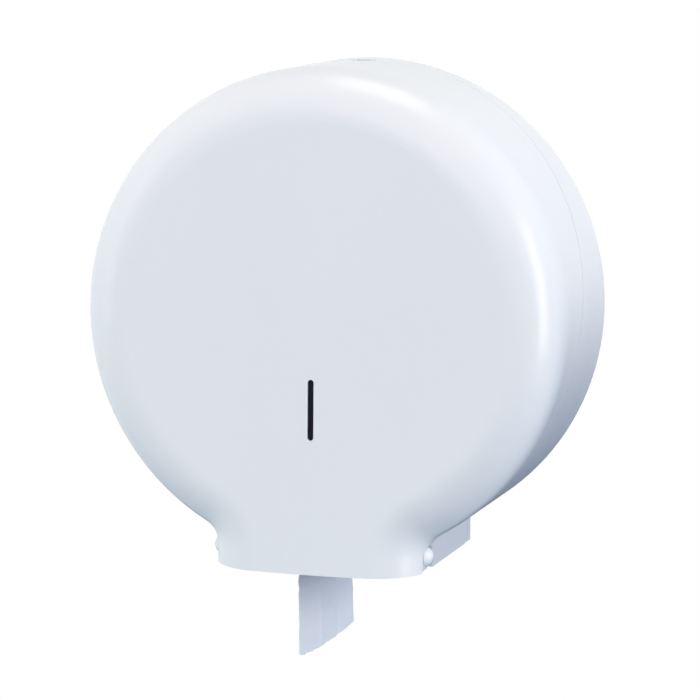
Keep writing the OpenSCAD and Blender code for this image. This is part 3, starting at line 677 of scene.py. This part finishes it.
def make_world():
    """Soft light with a colour of its own from each side, in front of a white background."""
    studio = settings().studio
    world = bpy.data.worlds.new("studio")
    bpy.context.scene.world = world
    world.use_nodes = True
    g = Graph(world.node_tree)
    direction = g.axes(g.node("ShaderNodeTexCoord", out="Generated"))
    soft = None
    for name, axis, sign in SIDES:
        share = (direction[axis] * sign).highest(0.0) ** 2.0
        glow = g.node("ShaderNodeBackground", None, {
            "Color": tuple(getattr(studio, name)), "Strength": share})
        soft = glow if soft is None else g.node("ShaderNodeAddShader", None, {0: soft, 1: glow})
    white = g.node("ShaderNodeBackground", None, {"Color": (1.0, 1.0, 1.0), "Strength": 1.0})
    shown = g.node("ShaderNodeMixShader", None, {0: shows_background(g), 1: soft, 2: white})
    g.node("ShaderNodeOutputWorld", None, {"Surface": shown})


def make_floor():
    """A pale floor that keeps the shadow under the dispenser and turns white further out."""
    studio = settings().studio
    half, height = 60.0, -studio.floor_drop
    white_from, white_at = 0.8, 1.5
    corners = [(-half, -half, height), (half, -half, height), (half, half, height), (-half, half, height)]
    floor = mesh_object("floor", [Vector(c) for c in corners], [(0, 1, 2, 3)])
    material, g = new_material("pale_floor")
    pale = tuple(studio.floor_white)
    x, y, _ = g.axes(g.place())
    away = g.node("ShaderNodeMapRange", {"interpolation_type": "SMOOTHSTEP"}, {
        "Value": (x * x + y * y) ** 0.5, "From Min": white_from, "From Max": white_at})
    shows = shows_background(g)
    mottled = g.tint(g.noise(g.place(), 3.0), shade(pale, 0.98), shade(pale, 1.02))
    matt = g.node("ShaderNodeBsdfDiffuse", None, {
        "Color": g.tint(shows, tuple(studio.floor_bounce), mottled)})
    white = g.node("ShaderNodeEmission", None, {"Color": (1.0, 1.0, 1.0), "Strength": 1.0})
    shown = g.node("ShaderNodeMixShader", None, {0: shows * away, 1: matt, 2: white})
    g.node("ShaderNodeOutputMaterial", None, {"Surface": shown})
    floor.data.materials.append(material)


def make_card():
    """A dark card that stands low behind the dispenser, so that the sheen of its lower side stays dark."""
    left, right, behind, low, high = -0.5, 1.3, 0.55, -0.60, 0.06
    corners = [(left, behind, low), (right, behind, low), (right, behind, high), (left, behind, high)]
    card = mesh_object("card", [Vector(c) for c in corners], [(0, 1, 2, 3)])
    material, g = new_material("dark_card")
    dark = tuple(settings().studio.card)
    height = g.axes(g.place())[2]
    fade = g.node("ShaderNodeMapRange", {"interpolation_type": "SMOOTHSTEP"}, {
        "Value": height, "From Min": -0.24, "From Max": high})
    matt = g.node("ShaderNodeBsdfDiffuse", None, {
        "Color": g.tint(g.noise(g.place(), 9.0), shade(dark, 0.9), shade(dark, 1.1))})
    g.node("ShaderNodeOutputMaterial", None, {"Surface": g.node("ShaderNodeMixShader", None, {
        0: fade, 1: matt, 2: g.node("ShaderNodeBsdfTransparent")})})
    card.data.materials.append(material)
    card.visible_camera = False
    card.visible_diffuse = False
    card.visible_shadow = False


# Name, place in metres, width and height, tint, whether gloss shows it
BOXES = (
    ("side", (2.08, -0.68, 0.19), (0.8, 1.6), (1.0, 0.90, 0.87), True),
    ("high", (0.1, -0.05, 2.1), (1.2, 1.0), (1.0, 1.0, 0.82), True),
    ("front", (0.25, -2.3, 1.0), (1.6, 1.2), (1.0, 0.79, 0.77), False),
    ("fill", (-1.9, -0.9, 0.3), (0.9, 1.4), (1.0, 0.98, 0.87), False),
    ("low", (0.2, -1.5, -0.50), (1.4, 0.3), (0.78, 1.0, 0.84), False),
)


def make_lights():
    for name, place, size, tint, shiny in BOXES:
        light = make_light(name, place, (0.0, -60 * MM, 0.0), size,
                           getattr(settings().studio, name + "_power"), tint)
        light.visible_glossy = shiny


# ---- operators ----


class DISPENSER_OT_shells(bpy.types.Operator):
    """Finish the cover, the base, the hinge and the window"""
    bl_idname = "dispenser.shells"
    bl_label = "Shells and hinge"

    def execute(self, context):
        shell = settings().shell
        white = tuple(shell.white)
        dress(moulded_plastic("shell_white", white, shell.roughness, shell.grain),
              "rear_base", "front_cover")
        dress(moulded_plastic("pin_white", shade(white, 1.03), shell.roughness - 0.06, shell.grain),
              "left_hinge_pin", "right_hinge_pin")
        dress(smoked_plate("window_smoke", tuple(shell.smoke)), "inspection_window")
        dress(brushed_steel("clip_steel", (0.55, 0.56, 0.58), (1.0, 1.0, 1.0)),
              "left_pin_clip", "right_pin_clip")
        return {"FINISHED"}


class DISPENSER_OT_spindle(bpy.types.Operator):
    """Finish the spindle, the hub, the adapter, the washers and the cap"""
    bl_idname = "dispenser.spindle"
    bl_label = "Spindle and hub"

    def execute(self, context):
        dress(moulded_plastic("spindle_grey", (0.36, 0.41, 0.46), 0.46, 0.08), "roll_spindle",
              "core_adapter")
        dress(moulded_plastic("hub_white", (0.74, 0.76, 0.78), 0.42, 0.06), "core_hub", "spindle_cap")
        dress(drag_felt("drag_felt", (0.05, 0.05, 0.06)), "friction_washer")
        dress(brushed_steel("spring_steel", (0.50, 0.50, 0.52), (1.0, 0.2, 1.0)), "spring_washer")
        dress(zinc_plate("screw_zinc", (0.62, 0.63, 0.65)), "spindle_screws", "cap_screw")
        return {"FINISHED"}


class DISPENSER_OT_mouth(bpy.types.Operator):
    """Finish the tear bars and their rivets"""
    bl_idname = "dispenser.mouth"
    bl_label = "Tear bars"

    def execute(self, context):
        dress(brushed_steel("tear_steel", (0.63, 0.64, 0.66), (1.0, 0.03, 1.0)),
              "left_tear_bar", "right_tear_bar")
        dress(brushed_steel("rivet_aluminium", (0.72, 0.73, 0.74), (1.0, 1.0, 1.0), 0.36),
              "left_tear_bar_rivets", "right_tear_bar_rivets")
        return {"FINISHED"}


class DISPENSER_OT_lock(bpy.types.Operator):
    """Finish the lock and its keeper"""
    bl_idname = "dispenser.lock"
    bl_label = "Lock and keeper"

    def execute(self, context):
        white = tuple(settings().shell.white)
        dress(moulded_plastic("lock_white", shade(white, 0.97), 0.3, 0.04), "lock_body")
        dress(moulded_plastic("lock_grey", (0.68, 0.70, 0.73), 0.36, 0.06), "lock_barrel")
        dress(zinc_plate("keeper_zinc", (0.60, 0.61, 0.63)), "keeper_plate", "keeper_screws",
              "lock_cam", "cam_screw", "lock_nut")
        return {"FINISHED"}


class DISPENSER_OT_paper(bpy.types.Operator):
    """Make the wound roll, the strip and its torn end, and finish the core"""
    bl_idname = "dispenser.paper"
    bl_label = "Paper"

    def execute(self, context):
        dress(spiral_card("core_card", (0.42, 0.33, 0.24)), "roll_core")
        make_roll()
        make_web()
        make_tail()
        return {"FINISHED"}


class DISPENSER_OT_stage(bpy.types.Operator):
    """Set the camera, the lights, the background and the floor"""
    bl_idname = "dispenser.stage"
    bl_label = "Stage"

    def execute(self, context):
        context.scene.view_settings.view_transform = "Standard"
        make_camera()
        make_world()
        make_floor()
        make_card()
        make_lights()
        return {"FINISHED"}


STEPS = (
    DISPENSER_OT_stage, DISPENSER_OT_shells, DISPENSER_OT_spindle, DISPENSER_OT_mouth,
    DISPENSER_OT_lock, DISPENSER_OT_paper,
)


class DISPENSER_PT_panel(bpy.types.Panel):
    """Steps and settings of the dispenser"""
    bl_idname = "DISPENSER_PT_panel"
    bl_label = "Dispenser"
    bl_space_type = "VIEW_3D"
    bl_region_type = "UI"
    bl_category = "Dispenser"

    def draw(self, context):
        for step in STEPS:
            self.layout.operator(step.bl_idname)
        for group in ("camera", "studio", "shell", "paper"):
            box = self.layout.box()
            values = getattr(context.scene.dispenser, group)
            for name in values.__annotations__:
                box.prop(values, name)


GROUPS = (DispenserCamera, DispenserStudio, DispenserShell, DispenserPaper, DispenserSettings)


def register():
    for item in (*GROUPS, *STEPS, DISPENSER_PT_panel):
        bpy.utils.register_class(item)
    bpy.types.Scene.dispenser = PointerProperty(
        type=DispenserSettings, name="Dispenser", description="Sizes and colours of the dispenser")


def unregister():
    del bpy.types.Scene.dispenser
    for item in reversed((*GROUPS, *STEPS, DISPENSER_PT_panel)):
        bpy.utils.unregister_class(item)


def main():
    register()
    for step in STEPS:
        group, name = step.bl_idname.split(".")
        getattr(getattr(bpy.ops, group), name)()


if __name__ == "__main__":
    main()
